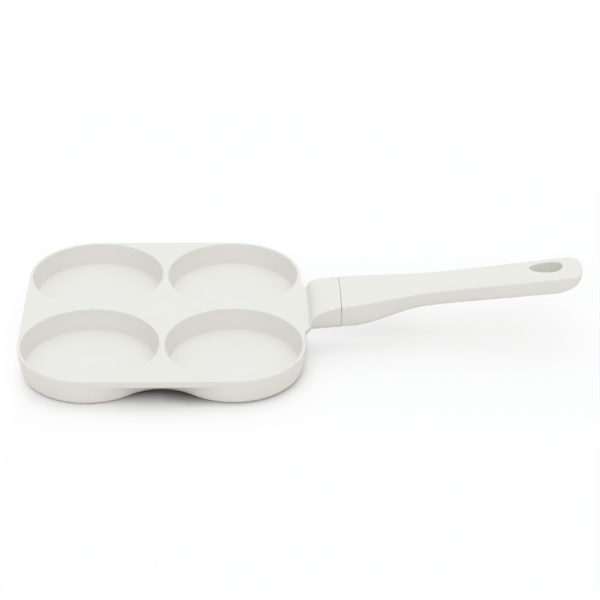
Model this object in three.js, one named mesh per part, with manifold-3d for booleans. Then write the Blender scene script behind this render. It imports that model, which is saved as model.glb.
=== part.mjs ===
// Four-cup burger pan: a cast aluminium body with four round cups and a handle lug, a moulded handle that
// plugs onto the lug's tenon and is held by one screw from below, and four perforated steel base discs.
// Millimetres, +Z up. The pan stands on z = 0 and its handle points along +X.
import * as THREE from "three";
import { mergeVertices } from "three/addons/utils/BufferGeometryUtils.js";
import Module from "manifold-3d";

const wasm = await Module();
wasm.setup();

const radians = THREE.MathUtils.degToRad;

// Driving dimensions of the cast body
const CUP_RIM_DIAMETER = 92;
const CUP_DEPTH = 16;
const CUP_WEB = 3.8; // metal between the rims of neighbouring cups
const WALL = 2.2;
const FLOOR_THICKNESS = 3;
const FLANGE_THICKNESS = 4.4;
const DRAFT = radians(7.5); // lean of the cup walls, inside and out
const RIM_ROUND = 0.8;
const FLOOR_FILLET = 1.3;
const FOOT_FILLET = 4;
const CAST_STEP = 0.08; // how far the cups' outside stands inside the flange's edge
const OUTER_HOLLOW = radians(52.5); // where the hollow between two cups leaves a cup, from the line of the two
const INNER_HOLLOW = radians(22.5); // the same for the hollow towards the pan's middle

// Driving dimensions of the lug that carries the handle
const LUG_LENGTH = 25.2; // from the flange edge to the seam with the handle
const LUG_STEP = 4.3; // flange left flat before the lug rises
const LUG_BLUNTNESS = 2.4; // of the curve that its top rises on; 2 is a plain ellipse
const LUG_ROOT_WIDTH = 53;
const LUG_ROOT_FILLET = 10;
const LUG_ROOT_TAPER = 0.21; // half width lost per millimetre where the lug leaves the flange
const LUG_ROOT_SUNK = 3; // how far the lug starts inside the flange
const LUG_KEEL = 1.7; // how far the lug's bottom drops below the flange
const LUG_KEEL_LENGTH = 12; // over which it drops

// Driving dimensions of the handle, measured along X from the seam
const HANDLE_LENGTH = 165.5;
const HANDLE_RISE = radians(6.65);
const FRONT_WIDTH = 44;
const GRIP_WIDTH = 28;
const END_WIDTH = 30.4;
const SEAM_TAPER = 0.07; // half width lost per millimetre where the lug meets the handle
const GRIP_STARTS = 72; // where the width has narrowed to the grip
const RIDGE_ABOVE_RIM = 11.8; // side ridge at the seam, above the flange's top
const CROWN = 3.2; // height of the top's middle above its side ridges
const BELLY_DEPTH = 18.9; // below the ridge, at its deepest
const BELLY_AT = 13;
const GRIP_DEPTH = 13;
const GRIP_DEPTH_AT = 57;
const END_DEPTH = 14.3;
const END_LENGTH = 16; // stretch over which the underside curves up to the handle's end
const END_UPSWEEP = 13.4; // how far the underside comes up
const END_SWEEP_BLUNTNESS = 1.7; // of that curve; 2 is a plain ellipse
const END_ROUND = 3.5; // stretch over which the top rolls down
const END_DROOP = 0.5; // how far it rolls down
const END_CAP = 8.6; // length of the blunt round end in plan
const END_BLUNTNESS = 3; // of that round; 2 is a plain ellipse
const END_TRIM = 0.3; // cut off the very end, which leaves it a small flat
const RIDGE_ROUND = 0.8;
const SIDE_INSET = 1.6; // lean of the sides from ridge to keel
const KEEL_ROUND = 5;

// Limits of those three where the section is thin, as shares of its depth or half width
const RIDGE_SHARE = 0.1;
const INSET_SHARE = 0.12;
const KEEL_SHARE = 0.4;
const KEEL_WIDTH_SHARE = 0.5;

// Driving dimensions of the hang hole
const HANG_FROM_END = 19.6; // handle's end to the centre of the hole's round end
const HANG_RADIUS = 7.1;
const HANG_TAIL = 15.4; // long half axis of the tapering end

// Driving dimensions of the handle's fixing
const SEAM_GAP = 0.4;
const TENON_LENGTH = 25;
const TENON_ROOT = 5; // stretch of the tenon inside the lug
const TENON_WIDTH = 26;
const TENON_HEIGHT = 7;
const TENON_ABOVE_RIM = 3;
const TENON_ROUND = 1.5;
const FIT = 0.3; // clearance between pieces that slide together
const SCREW_AT = 16; // screw axis behind the seam
const SCREW_DIAMETER = 5;
const SCREW_TIP_SHORT = 0.6; // shank end below the tenon's top
const SCREW_POINT = 0.6; // chamfer of the shank's end
const HEAD_DIAMETER = 9.4;
const HEAD_HEIGHT = 2.8;
const HEAD_DOME = 1.7;
const RECESS_SPAN = 5;
const RECESS_WIDTH = 1.2;
const RECESS_DEPTH = 1.7;
const SEAT_WALL = 2.5; // handle wall between the screw's seat and the tenon socket
const FLAT_WASHER_DIAMETER = 10;
const FLAT_WASHER_THICKNESS = 1;
const SPRING_WASHER_DIAMETER = 8.7;
const SPRING_WASHER_THICKNESS = 1.2;
const SPRING_SLIT = radians(14);

// Driving dimensions of the base discs
const DISC_DIAMETER = 76;
const DISC_THICKNESS = 1;
const DISC_HOLE_DIAMETER = 5.6;
const DISC_RING_STEP = 13; // radius of the first ring of holes, and the step to the next
const DISC_RINGS = 2;
const HOLES_IN_FIRST_RING = 6;
const STUD_CLEARANCE = 0.15; // round the studs of body metal that fill the holes
const STUD_SUNK = 0.06; // below the disc's face

const OVERSHOOT = 2; // how far a cutting shape runs past the face that it cuts

// Faces on round shapes
const CUP_SEGMENTS = 48;
const SMALL_SEGMENTS = 20;
const HOLE_SEGMENTS = 8;
const FILLET_STEPS = 3;
const RIM_STEPS = 2;
const HANDLE_STEPS = 20;
const END_STEPS = 8;
const HANG_STEPS = 9;
const LUG_STEPS = 9;
const CROWN_STEPS = 4;

// Values that follow from the driving dimensions
const rimRadius = CUP_RIM_DIAMETER / 2;
const outerRadius = rimRadius + WALL;
const cupPitch = CUP_RIM_DIAMETER + CUP_WEB;
const cupOffset = cupPitch / 2;
const bodyHalf = cupOffset + outerRadius;
const rimZ = CUP_DEPTH + FLOOR_THICKNESS;
const castJoinZ = rimZ - FLANGE_THICKNESS / 2; // where the cups' outside ends, inside the flange
const seamX = bodyHalf + LUG_LENGTH;
const handleEndX = seamX + HANDLE_LENGTH;
const middleX = (handleEndX - bodyHalf) / 2; // centre of the whole pan's length
const seamRidgeZ = rimZ + RIDGE_ABOVE_RIM;
const frontDepth = RIDGE_ABOVE_RIM + FLANGE_THICKNESS + LUG_KEEL;
const discRadius = DISC_DIAMETER / 2;
const tenonBottom = rimZ + TENON_ABOVE_RIM;
const tenonTop = tenonBottom + TENON_HEIGHT;
const screwX = seamX + SCREW_AT;
const seatZ = tenonBottom - FIT - SEAT_WALL;
const screwHoleRadius = SCREW_DIAMETER / 2 + FIT;
const counterboreRadius = FLAT_WASHER_DIAMETER / 2 + FIT;

// A closed geometry as a solid that can be joined and cut.
function solid(geometry) {
  const bare = geometry.clone();
  bare.deleteAttribute("normal");
  bare.deleteAttribute("uv");
  const merged = mergeVertices(bare, 1e-4);
  const index = merged.index.array;
  const triangles = [];
  for (let i = 0; i < index.length; i += 3) {
    const [a, b, c] = [index[i], index[i + 1], index[i + 2]];
    if (a !== b && b !== c && c !== a) triangles.push(a, b, c);
  }
  return new wasm.Manifold(
    new wasm.Mesh({
      numProp: 3,
      vertProperties: new Float32Array(merged.attributes.position.array),
      triVerts: new Uint32Array(triangles),
    }),
  );
}

function geometryOf(manifold) {
  const mesh = manifold.getMesh();
  const geometry = new THREE.BufferGeometry();
  geometry.setAttribute("position", new THREE.BufferAttribute(mesh.vertProperties, 3));
  geometry.setIndex(new THREE.BufferAttribute(mesh.triVerts, 1));
  geometry.computeVertexNormals();
  return geometry;
}

// Points of an arc in a profile, from one angle to another.
function arc(centreX, centreY, radius, from, to, steps = FILLET_STEPS) {
  const points = [];
  for (let i = 0; i <= steps; i++) {
    const angle = from + ((to - from) * i) / steps;
    points.push(new THREE.Vector2(centreX + radius * Math.cos(angle), centreY + radius * Math.sin(angle)));
  }
  return points;
}

// A solid of revolution about Z from a profile of (radius, height) points that starts and ends on the axis.
function revolve(profile, segments) {
  return new THREE.LatheGeometry(profile, segments).rotateX(Math.PI / 2);
}

function rod(radius, bottom, top, segments = SMALL_SEGMENTS) {
  const profile = [
    new THREE.Vector2(0, bottom),
    new THREE.Vector2(radius, bottom),
    new THREE.Vector2(radius, top),
    new THREE.Vector2(0, top),
  ];
  return revolve(profile, segments);
}

// A closed skin over rings of the same number of points, with a fan over each end.
function loft(rings) {
  const count = rings[0].length;
  const positions = [];
  const index = [];
  for (const ring of rings) {
    for (const point of ring) positions.push(point.x, point.y, point.z);
  }
  for (let r = 0; r + 1 < rings.length; r++) {
    for (let i = 0; i < count; i++) {
      const a = r * count + i;
      const b = r * count + ((i + 1) % count);
      index.push(a, b, b + count, a, b + count, a + count);
    }
  }
  for (const [ring, start, flip] of [
    [rings[0], 0, true],
    [rings[rings.length - 1], (rings.length - 1) * count, false],
  ]) {
    const centre = new THREE.Vector3();
    for (const point of ring) centre.addScaledVector(point, 1 / count);
    const hub = positions.length / 3;
    positions.push(centre.x, centre.y, centre.z);
    for (let i = 0; i < count; i++) {
      const a = start + i;
      const b = start + ((i + 1) % count);
      if (flip) index.push(hub, b, a);
      else index.push(hub, a, b);
    }
  }
  const geometry = new THREE.BufferGeometry();
  geometry.setAttribute("position", new THREE.Float32BufferAttribute(positions, 3));
  geometry.setIndex(index);
  return geometry;
}

function smooth(t) {
  const s = THREE.MathUtils.clamp(t, 0, 1);
  return s * s * (3 - 2 * s);
}

// A cubic from (x0, y0) to (x1, y1) with the given slopes at its ends.
function cubic(x, x0, y0, slope0, x1, y1, slope1) {
  const span = x1 - x0;
  const t = (x - x0) / span;
  const rise = t * t * (3 - 2 * t);
  return y0 + (y1 - y0) * rise + slope0 * span * t * (1 - t) * (1 - t) - slope1 * span * t * t * (1 - t);
}

// Cast body: flange

// A square with rounded corners at one height, corner points at the same angles as the cups' facets.
function roundedSquare(half, radius, z) {
  const steps = CUP_SEGMENTS / 4;
  const centre = half - radius;
  const ring = [];
  for (const [quarter, signX, signY] of [
    [0, 1, 1],
    [1, -1, 1],
    [2, -1, -1],
    [3, 1, -1],
  ]) {
    for (let i = 0; i <= steps; i++) {
      const angle = ((quarter + i / steps) * Math.PI) / 2;
      const x = signX * centre + radius * Math.cos(angle);
      const y = signY * centre + radius * Math.sin(angle);
      ring.push(new THREE.Vector3(x, y, z));
    }
  }
  return ring;
}

function flange() {
  const lean = Math.tan(DRAFT);
  const at = (inset, z) => roundedSquare(bodyHalf - inset, outerRadius - inset, z);
  const rings = [at(FLANGE_THICKNESS * lean, rimZ - FLANGE_THICKNESS)];
  for (const point of arc(RIM_ROUND, rimZ - RIM_ROUND, RIM_ROUND, Math.PI, Math.PI / 2, RIM_STEPS)) {
    rings.push(at(point.x, point.y));
  }
  return loft(rings);
}

// Cast body: cups

// Centre of a fillet of the given radius between a leaning wall and a flat at the given height.
function filletCentre(topRadius, flatZ, fillet) {
  const z = flatZ + fillet;
  const wall = topRadius - (rimZ - z) * Math.tan(DRAFT);
  return new THREE.Vector2(wall - fillet / Math.cos(DRAFT), z);
}

// A cup's outside, from its foot up into the flange. It stands a hair inside the flange's own edge, so that
// the two surfaces never coincide.
function outsideProfile() {
  const top = outerRadius - CAST_STEP;
  const foot = filletCentre(top, 0, FOOT_FILLET);
  return [
    ...arc(foot.x, foot.y, FOOT_FILLET, -Math.PI / 2, -DRAFT),
    new THREE.Vector2(top - (rimZ - castJoinZ) * Math.tan(DRAFT), castJoinZ),
  ];
}

function cupOutside() {
  const profile = [new THREE.Vector2(0, 0), ...outsideProfile(), new THREE.Vector2(0, castJoinZ)];
  return revolve(profile, CUP_SEGMENTS);
}

// The metal that joins the two front cups: a kite over their middles and the middles of two round hollows,
// whose walls run into the cups' walls.
function frontBridge() {
  const outside = outsideProfile();
  const hollows = [
    [-cupOffset * Math.tan(OUTER_HOLLOW), cupOffset / Math.cos(OUTER_HOLLOW)],
    [cupOffset * Math.tan(INNER_HOLLOW), cupOffset / Math.cos(INNER_HOLLOW)],
  ];
  const kite = new THREE.Shape([
    new THREE.Vector2(-cupOffset, 0),
    new THREE.Vector2(0, hollows[0][0]),
    new THREE.Vector2(cupOffset, 0),
    new THREE.Vector2(0, hollows[1][0]),
  ]);
  let bridge = solid(new THREE.ExtrudeGeometry(kite, { depth: castJoinZ, bevelEnabled: false }));
  for (const [y, reach] of hollows) {
    const profile = [
      new THREE.Vector2(0, -OVERSHOOT),
      new THREE.Vector2(reach - outside[0].x, -OVERSHOOT),
      ...outside.map((point) => new THREE.Vector2(reach - point.x, point.y)),
      new THREE.Vector2(reach - outside[outside.length - 1].x, castJoinZ + OVERSHOOT),
      new THREE.Vector2(0, castJoinZ + OVERSHOOT),
    ];
    bridge = bridge.subtract(solid(revolve(profile, CUP_SEGMENTS).translate(0, y, 0)));
  }
  return geometryOf(bridge).translate(0, -cupOffset, 0);
}

function cupInside() {
  const floorZ = rimZ - CUP_DEPTH;
  const corner = filletCentre(rimRadius, floorZ, FLOOR_FILLET);
  const roundZ = rimZ - RIM_ROUND;
  const roundX = rimRadius - RIM_ROUND * Math.tan(DRAFT) + RIM_ROUND / Math.cos(DRAFT);
  return revolve(
    [
      new THREE.Vector2(0, floorZ),
      ...arc(corner.x, corner.y, FLOOR_FILLET, -Math.PI / 2, -DRAFT, RIM_STEPS),
      ...arc(roundX, roundZ, RIM_ROUND, Math.PI - DRAFT, Math.PI / 2, RIM_STEPS),
      new THREE.Vector2(roundX, rimZ + OVERSHOOT),
      new THREE.Vector2(0, rimZ + OVERSHOOT),
    ],
    CUP_SEGMENTS,
  );
}

// Lug and handle share one section: a crowned top between two side ridges, leaning sides and a round keel.
function section(x, halfWidth, ridgeZ, crown, depth) {
  const keel = Math.min(KEEL_ROUND, depth * KEEL_SHARE, halfWidth * KEEL_WIDTH_SHARE);
  const inset = Math.min(SIDE_INSET, depth * INSET_SHARE);
  const round = Math.min(RIDGE_ROUND, depth * RIDGE_SHARE);
  const bottom = ridgeZ - depth;
  const half = [];
  for (let i = 1; i <= CROWN_STEPS; i++) {
    const y = ((halfWidth - round) * i) / CROWN_STEPS;
    half.push([y, ridgeZ + crown * (1 - (y / halfWidth) ** 2)]);
  }
  half.push([halfWidth, ridgeZ - round]);
  for (const point of arc(halfWidth - inset - keel, bottom + keel, keel, 0, -Math.PI / 2, 3)) {
    half.push([point.x, point.y]);
  }
  const ring = [[0, ridgeZ + crown]];
  for (const [y, z] of half) ring.push([-y, z]);
  ring.push([0, bottom]);
  for (const [y, z] of half.reverse()) ring.push([y, z]);
  return ring.map(([y, z]) => new THREE.Vector3(x, y, z));
}

// Cast body: lug

function lugHalfWidth(x) {
  const taper = cubic(x, bodyHalf, LUG_ROOT_WIDTH / 2, -LUG_ROOT_TAPER, seamX, FRONT_WIDTH / 2, -SEAM_TAPER);
  const toFilletEnd = bodyHalf + LUG_ROOT_FILLET - x;
  if (toFilletEnd <= 0) return taper;
  const run = Math.min(toFilletEnd, LUG_ROOT_FILLET);
  return taper + LUG_ROOT_FILLET - Math.sqrt(LUG_ROOT_FILLET ** 2 - run ** 2);
}

// The lug leaves the flange's edge flat, then its top rises on a blunt curve and runs out along the
// handle's ridge.
function lug() {
  const faceX = seamX - SEAM_GAP / 2;
  const riseX = bodyHalf + LUG_STEP;
  const span = faceX - riseX;
  const rings = [];
  const ringAt = (x, rise) => {
    const bottom = rimZ - FLANGE_THICKNESS - LUG_KEEL * smooth((x - bodyHalf) / LUG_KEEL_LENGTH);
    const runOut = Math.tan(HANDLE_RISE) * (faceX - x) * rise ** 3;
    const ridgeZ = rimZ + RIDGE_ABOVE_RIM * rise - runOut;
    rings.push(section(x, lugHalfWidth(x), ridgeZ, CROWN * rise, ridgeZ - bottom));
  };
  ringAt(bodyHalf - LUG_ROOT_SUNK, 0);
  for (let i = 0; i < FILLET_STEPS; i++) ringAt(bodyHalf + (LUG_STEP * i) / FILLET_STEPS, 0);
  for (let i = 0; i < LUG_STEPS; i++) {
    const angle = (Math.PI / 2) * (i / LUG_STEPS);
    const power = 2 / LUG_BLUNTNESS;
    ringAt(riseX + span * (1 - Math.cos(angle) ** power), Math.sin(angle) ** power);
  }
  ringAt(faceX, 1);
  return loft(rings);
}

// A bar along X with a rounded rectangular section.
function bar(fromX, toX, width, bottom, top, round) {
  const [w, b, t, r] = [width / 2, bottom, top, round];
  const shape = new THREE.Shape();
  shape.moveTo(w, b + r);
  shape.lineTo(w, t - r);
  shape.absarc(w - r, t - r, r, 0, Math.PI / 2);
  shape.lineTo(-w + r, t);
  shape.absarc(-w + r, t - r, r, Math.PI / 2, Math.PI);
  shape.lineTo(-w, b + r);
  shape.absarc(-w + r, b + r, r, Math.PI, Math.PI * 1.5);
  shape.lineTo(w - r, b);
  shape.absarc(w - r, b + r, r, Math.PI * 1.5, Math.PI * 2);
  const geometry = new THREE.ExtrudeGeometry(shape, {
    depth: toX - fromX,
    bevelEnabled: false,
    curveSegments: FILLET_STEPS,
  });
  const axes = new THREE.Matrix4().makeBasis(
    new THREE.Vector3(0, 1, 0),
    new THREE.Vector3(0, 0, 1),
    new THREE.Vector3(1, 0, 0),
  );
  return geometry.applyMatrix4(axes).translate(fromX, 0, 0);
}

const CUP_PLACES = [
  ["front_left", -1, -1],
  ["front_right", 1, -1],
  ["back_left", -1, 1],
  ["back_right", 1, 1],
];

// Places of the base disc's holes, from its middle: one there and then rings.
function discHolePlaces() {
  const places = [[0, 0]];
  for (let r = 1; r <= DISC_RINGS; r++) {
    const holes = HOLES_IN_FIRST_RING * r;
    for (let i = 0; i < holes; i++) {
      const angle = (2 * Math.PI * i) / holes;
      places.push([DISC_RING_STEP * r * Math.cos(angle), DISC_RING_STEP * r * Math.sin(angle)]);
    }
  }
  return places;
}

// The studs of body metal that stand in the disc's holes.
function studs() {
  const sunkIn = FLOOR_THICKNESS / 2; // end inside the cup's floor
  const stud = rod(DISC_HOLE_DIAMETER / 2 - STUD_CLEARANCE, STUD_SUNK, sunkIn, HOLE_SEGMENTS);
  return discHolePlaces().map(([x, y]) => stud.clone().translate(x, y, 0));
}

function panBody() {
  const tenonRoot = seamX - SEAM_GAP / 2 - TENON_ROOT;
  let body = solid(flange());
  for (const [, signX, signY] of CUP_PLACES) {
    body = body.add(solid(cupOutside().translate(signX * cupOffset, signY * cupOffset, 0)));
  }
  for (let side = 0; side < 4; side++) {
    body = body.add(solid(frontBridge().rotateZ((side * Math.PI) / 2)));
  }
  body = body.add(solid(lug()));
  body = body.add(
    solid(bar(tenonRoot, seamX + TENON_LENGTH, TENON_WIDTH, tenonBottom, tenonTop, TENON_ROUND)),
  );
  body = body.subtract(solid(rod(screwHoleRadius, tenonBottom - FIT, tenonTop + FIT).translate(screwX, 0, 0)));
  for (const [, signX, signY] of CUP_PLACES) {
    body = body.subtract(solid(cupInside().translate(signX * cupOffset, signY * cupOffset, 0)));
    const recess = rod(discRadius + FIT, -DISC_THICKNESS, DISC_THICKNESS, CUP_SEGMENTS);
    body = body.subtract(solid(recess.translate(signX * cupOffset, signY * cupOffset, 0)));
    for (const stud of studs()) {
      body = body.add(solid(stud.translate(signX * cupOffset, signY * cupOffset, 0)));
    }
  }
  return geometryOf(body);
}

// Handle

function handleHalfWidth(along) {
  if (along < GRIP_STARTS) {
    return cubic(along, 0, FRONT_WIDTH / 2, -SEAM_TAPER, GRIP_STARTS, GRIP_WIDTH / 2, 0);
  }
  const spread = (END_WIDTH - GRIP_WIDTH) / 2;
  return GRIP_WIDTH / 2 + spread * smooth((along - GRIP_STARTS) / (HANDLE_LENGTH - GRIP_STARTS));
}

function handleDepth(along) {
  if (along < BELLY_AT) return frontDepth + (BELLY_DEPTH - frontDepth) * smooth(along / BELLY_AT);
  if (along < GRIP_DEPTH_AT) {
    return BELLY_DEPTH + (GRIP_DEPTH - BELLY_DEPTH) * smooth((along - BELLY_AT) / (GRIP_DEPTH_AT - BELLY_AT));
  }
  const share = (along - GRIP_DEPTH_AT) / (HANDLE_LENGTH - GRIP_DEPTH_AT);
  return GRIP_DEPTH + (END_DEPTH - GRIP_DEPTH) * share;
}

function handleRidge(along) {
  return seamRidgeZ + along * Math.tan(HANDLE_RISE);
}

// Height, from 0 to 1, of a curve that starts flat and ends upright; with a bluntness of 2 it is a quarter
// ellipse.
function bluntRise(share, bluntness) {
  return 1 - (1 - share ** bluntness) ** (1 / bluntness);
}

// Share of the width that is left at a distance from the handle's end.
function endCap(fromEnd) {
  return 1 - bluntRise(THREE.MathUtils.clamp(1 - fromEnd / END_CAP, 0, 1), END_BLUNTNESS);
}

// The blank is swept through sections. At its end the underside sweeps up and the plan closes to a blunt round.
function handleBlank() {
  const rings = [];
  const straight = HANDLE_LENGTH - END_LENGTH;
  const start = SEAM_GAP / 2;
  for (let i = 0; i < HANDLE_STEPS; i++) {
    const along = start + ((straight - start) * i) / HANDLE_STEPS;
    rings.push(section(seamX + along, handleHalfWidth(along), handleRidge(along), CROWN, handleDepth(along)));
  }
  for (let i = 0; i <= END_STEPS; i++) {
    const share = Math.sin((Math.PI / 2) * (i / END_STEPS)); // rings crowd towards the end
    const along = straight + END_LENGTH * share;
    const fromEnd = HANDLE_LENGTH - along;
    const upsweep = END_UPSWEEP * bluntRise(share, END_SWEEP_BLUNTNESS);
    const droop = END_DROOP * bluntRise(Math.max(1 - fromEnd / END_ROUND, 0), 2);
    const halfWidth = handleHalfWidth(along) * endCap(fromEnd + END_TRIM);
    const depth = handleDepth(along) - droop - upsweep;
    rings.push(section(seamX + along, halfWidth, handleRidge(along) - droop, CROWN, depth));
  }
  return loft(rings);
}

// Egg-shaped hole: a half circle towards the handle's end and a long half ellipse towards the pan.
function hangHole() {
  const reach = BELLY_DEPTH * 2;
  const shape = new THREE.Shape();
  shape.absarc(0, 0, HANG_RADIUS, -Math.PI / 2, Math.PI / 2);
  shape.absellipse(0, 0, HANG_TAIL, HANG_RADIUS, Math.PI / 2, Math.PI * 1.5);
  const hole = new THREE.ExtrudeGeometry(shape, {
    depth: 2 * reach,
    bevelEnabled: false,
    curveSegments: HANG_STEPS,
  });
  const along = HANDLE_LENGTH - HANG_FROM_END;
  return hole.translate(0, 0, -reach).rotateY(-HANDLE_RISE).translate(seamX + along, 0, handleRidge(along));
}

function handleGrip() {
  const socket = bar(
    seamX - OVERSHOOT,
    seamX + TENON_LENGTH + FIT,
    TENON_WIDTH + 2 * FIT,
    tenonBottom - FIT,
    tenonTop + FIT,
    TENON_ROUND,
  );
  const below = seamRidgeZ - 2 * BELLY_DEPTH;
  const grip = solid(handleBlank())
    .subtract(solid(socket))
    .subtract(solid(rod(screwHoleRadius, below, tenonBottom).translate(screwX, 0, 0)))
    .subtract(solid(rod(counterboreRadius, below, seatZ).translate(screwX, 0, 0)))
    .subtract(solid(hangHole()));
  return geometryOf(grip);
}

// Fixing: the screw enters from below, and its head presses a spring washer on a flat washer.

const flatWasherZ = seatZ - FLAT_WASHER_THICKNESS;
const springWasherZ = flatWasherZ - SPRING_WASHER_THICKNESS;

function handleScrew() {
  const headBottom = springWasherZ - HEAD_HEIGHT;
  const tip = tenonTop - SCREW_TIP_SHORT;
  const profile = [
    new THREE.Vector2(0, headBottom),
    new THREE.Vector2(HEAD_DIAMETER / 2 - HEAD_DOME, headBottom),
    ...arc(HEAD_DIAMETER / 2 - HEAD_DOME, headBottom + HEAD_DOME, HEAD_DOME, -Math.PI / 2, 0).slice(1),
    new THREE.Vector2(HEAD_DIAMETER / 2, springWasherZ),
    new THREE.Vector2(SCREW_DIAMETER / 2, springWasherZ),
    new THREE.Vector2(SCREW_DIAMETER / 2, tip - SCREW_POINT),
    new THREE.Vector2(SCREW_DIAMETER / 2 - SCREW_POINT, tip),
    new THREE.Vector2(0, tip),
  ];
  let screw = solid(revolve(profile, SMALL_SEGMENTS));
  for (const turn of [0, Math.PI / 2]) {
    const slot = new THREE.BoxGeometry(RECESS_SPAN, RECESS_WIDTH, RECESS_DEPTH * 2);
    screw = screw.subtract(solid(slot.rotateZ(turn).translate(0, 0, headBottom)));
  }
  return geometryOf(screw);
}

// A flat ring between two radii, less a slit of the given angle.
function ring(outer, inner, thickness, slit) {
  const shape = new THREE.Shape();
  const from = slit / 2;
  const to = 2 * Math.PI - slit / 2;
  shape.absarc(0, 0, outer, from, to, false);
  if (slit > 0) {
    shape.absarc(0, 0, inner, to, from, true);
  } else {
    shape.holes.push(new THREE.Path().absarc(0, 0, inner, 0, 2 * Math.PI, true));
  }
  return new THREE.ExtrudeGeometry(shape, {
    depth: thickness,
    bevelEnabled: false,
    curveSegments: SMALL_SEGMENTS / 2,
  });
}

// Base disc: a steel disc with rings of holes, pressed flush into the cup's foot.
function baseDisc() {
  let disc = solid(rod(discRadius, 0, DISC_THICKNESS, CUP_SEGMENTS));
  for (const [x, y] of discHolePlaces()) {
    const hole = rod(DISC_HOLE_DIAMETER / 2, -OVERSHOOT, DISC_THICKNESS + OVERSHOOT, HOLE_SEGMENTS);
    disc = disc.subtract(solid(hole.translate(x, y, 0)));
  }
  return geometryOf(disc);
}

// Materials

const ceramicCoat = new THREE.MeshStandardMaterial({ color: 0xe9e7df, roughness: 0.45, metalness: 0 });
const softTouch = new THREE.MeshStandardMaterial({ color: 0xe8e6de, roughness: 0.6, metalness: 0 });
const discSteel = new THREE.MeshStandardMaterial({ color: 0xb9b8b4, roughness: 0.35, metalness: 1 });
const zincSteel = new THREE.MeshStandardMaterial({ color: 0xa9aaac, roughness: 0.3, metalness: 1 });

// Assembly

function piece(name, geometry, material) {
  const mesh = new THREE.Mesh(geometry, material);
  mesh.name = name;
  return mesh;
}

const pan = new THREE.Group();
pan.position.x = -middleX;

pan.add(piece("pan_body", panBody(), ceramicCoat));
for (const [place, signX, signY] of CUP_PLACES) {
  const disc = piece(`base_disc_${place}`, baseDisc(), discSteel);
  disc.position.set(signX * cupOffset, signY * cupOffset, 0);
  pan.add(disc);
}
pan.add(piece("handle_grip", handleGrip(), softTouch));

const fixing = new THREE.Group();
fixing.position.x = screwX;
fixing.add(piece("handle_screw", handleScrew(), zincSteel));
const flatWasher = piece(
  "flat_washer",
  ring(FLAT_WASHER_DIAMETER / 2, SCREW_DIAMETER / 2 + FIT, FLAT_WASHER_THICKNESS, 0),
  zincSteel,
);
flatWasher.position.z = flatWasherZ;
fixing.add(flatWasher);
const springWasher = piece(
  "spring_washer",
  ring(SPRING_WASHER_DIAMETER / 2, SCREW_DIAMETER / 2 + FIT, SPRING_WASHER_THICKNESS, SPRING_SLIT),
  zincSteel,
);
springWasher.position.z = springWasherZ;
fixing.add(springWasher);
pan.add(fixing);

export default pan;
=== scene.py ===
"""Looks of a four-cup frying pan: a cream coated casting with a moulded handle on its lug."""

import math

import bmesh
import bpy
from mathutils import Matrix, Quaternion, Vector


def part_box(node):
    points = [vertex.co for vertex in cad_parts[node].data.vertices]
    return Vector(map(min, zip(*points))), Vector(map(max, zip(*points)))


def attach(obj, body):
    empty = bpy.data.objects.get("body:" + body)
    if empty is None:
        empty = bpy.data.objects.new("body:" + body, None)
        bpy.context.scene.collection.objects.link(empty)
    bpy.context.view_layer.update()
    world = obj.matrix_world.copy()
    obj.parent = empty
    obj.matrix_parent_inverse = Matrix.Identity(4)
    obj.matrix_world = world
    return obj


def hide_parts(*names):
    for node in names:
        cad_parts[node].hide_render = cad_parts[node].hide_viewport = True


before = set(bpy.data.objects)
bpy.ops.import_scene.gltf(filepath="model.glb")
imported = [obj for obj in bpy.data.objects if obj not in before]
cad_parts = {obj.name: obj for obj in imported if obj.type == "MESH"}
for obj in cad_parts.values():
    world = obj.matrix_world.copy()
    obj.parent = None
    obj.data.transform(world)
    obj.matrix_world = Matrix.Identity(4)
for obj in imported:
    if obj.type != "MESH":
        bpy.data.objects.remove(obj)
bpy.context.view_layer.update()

# Places taken from the frame, in metres
MM = 0.001
body_low, body_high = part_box("pan_body")
grip_low, grip_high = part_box("handle_grip")
disc_low, disc_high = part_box("base_disc_front_right")
screw_low, screw_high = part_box("handle_screw")
flat_low, flat_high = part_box("flat_washer")
spring_low, spring_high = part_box("spring_washer")

BODY_HALF = (body_high.y - body_low.y) / 2
PAN_X = body_low.x + BODY_HALF
CUP_OFFSET = -(disc_low.y + disc_high.y) / 2
OUTER_RADIUS = BODY_HALF - CUP_OFFSET
DISC_RADIUS = (disc_high.y - disc_low.y) / 2
DISC_TOP = disc_high.z
JOINT_GAP = 0.4 * MM
SEAM_X = grip_low.x - PAN_X - JOINT_GAP / 2
HANDLE_LENGTH = grip_high.x - PAN_X - SEAM_X
TENON_END_X = body_high.x - PAN_X
SCREW_X = (screw_low.x + screw_high.x) / 2 - PAN_X

# Casting
RIM_Z = 19 * MM
RIM_RADIUS = 46 * MM
CUP_DEPTH = 16 * MM
FLANGE_THICKNESS = 4.85 * MM
DRAFT = math.radians(7.5)
RIM_ROUND = 0.8 * MM
FLOOR_FILLET = 1.3 * MM
FOOT_FILLET = 4 * MM
OUTER_HOLLOW = math.radians(52.5)  # where the hollow between two cups leaves a cup
INNER_HOLLOW = math.radians(22.5)  # the same for the hollow towards the pan's middle
DISC_CLEARANCE = 0.3 * MM
FOOT_LIP = 0.2 * MM
FLOOR_MARGIN = 1 * MM  # ring on a cup's floor before its fillet
CUP_STEPS = 104
FILLET_STEPS = 9
RIM_STEPS = 6
LIP_STEPS = 3
LUG_ROOT_STEPS = 4  # facets of a cup between its middle line and the lug's root
OUTER_HOLLOW_STEPS = (9, 15)  # facets from the line of two cups to the hollow's middle and to its end
INNER_HOLLOW_STEPS = (2, 7)
CORNER_STEP = CUP_STEPS // 8  # facets from that line to the corner of a quarter
FLANGE_Z = RIM_Z - FLANGE_THICKNESS
EDGE_LEAN = FLANGE_THICKNESS * math.tan(DRAFT)
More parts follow.
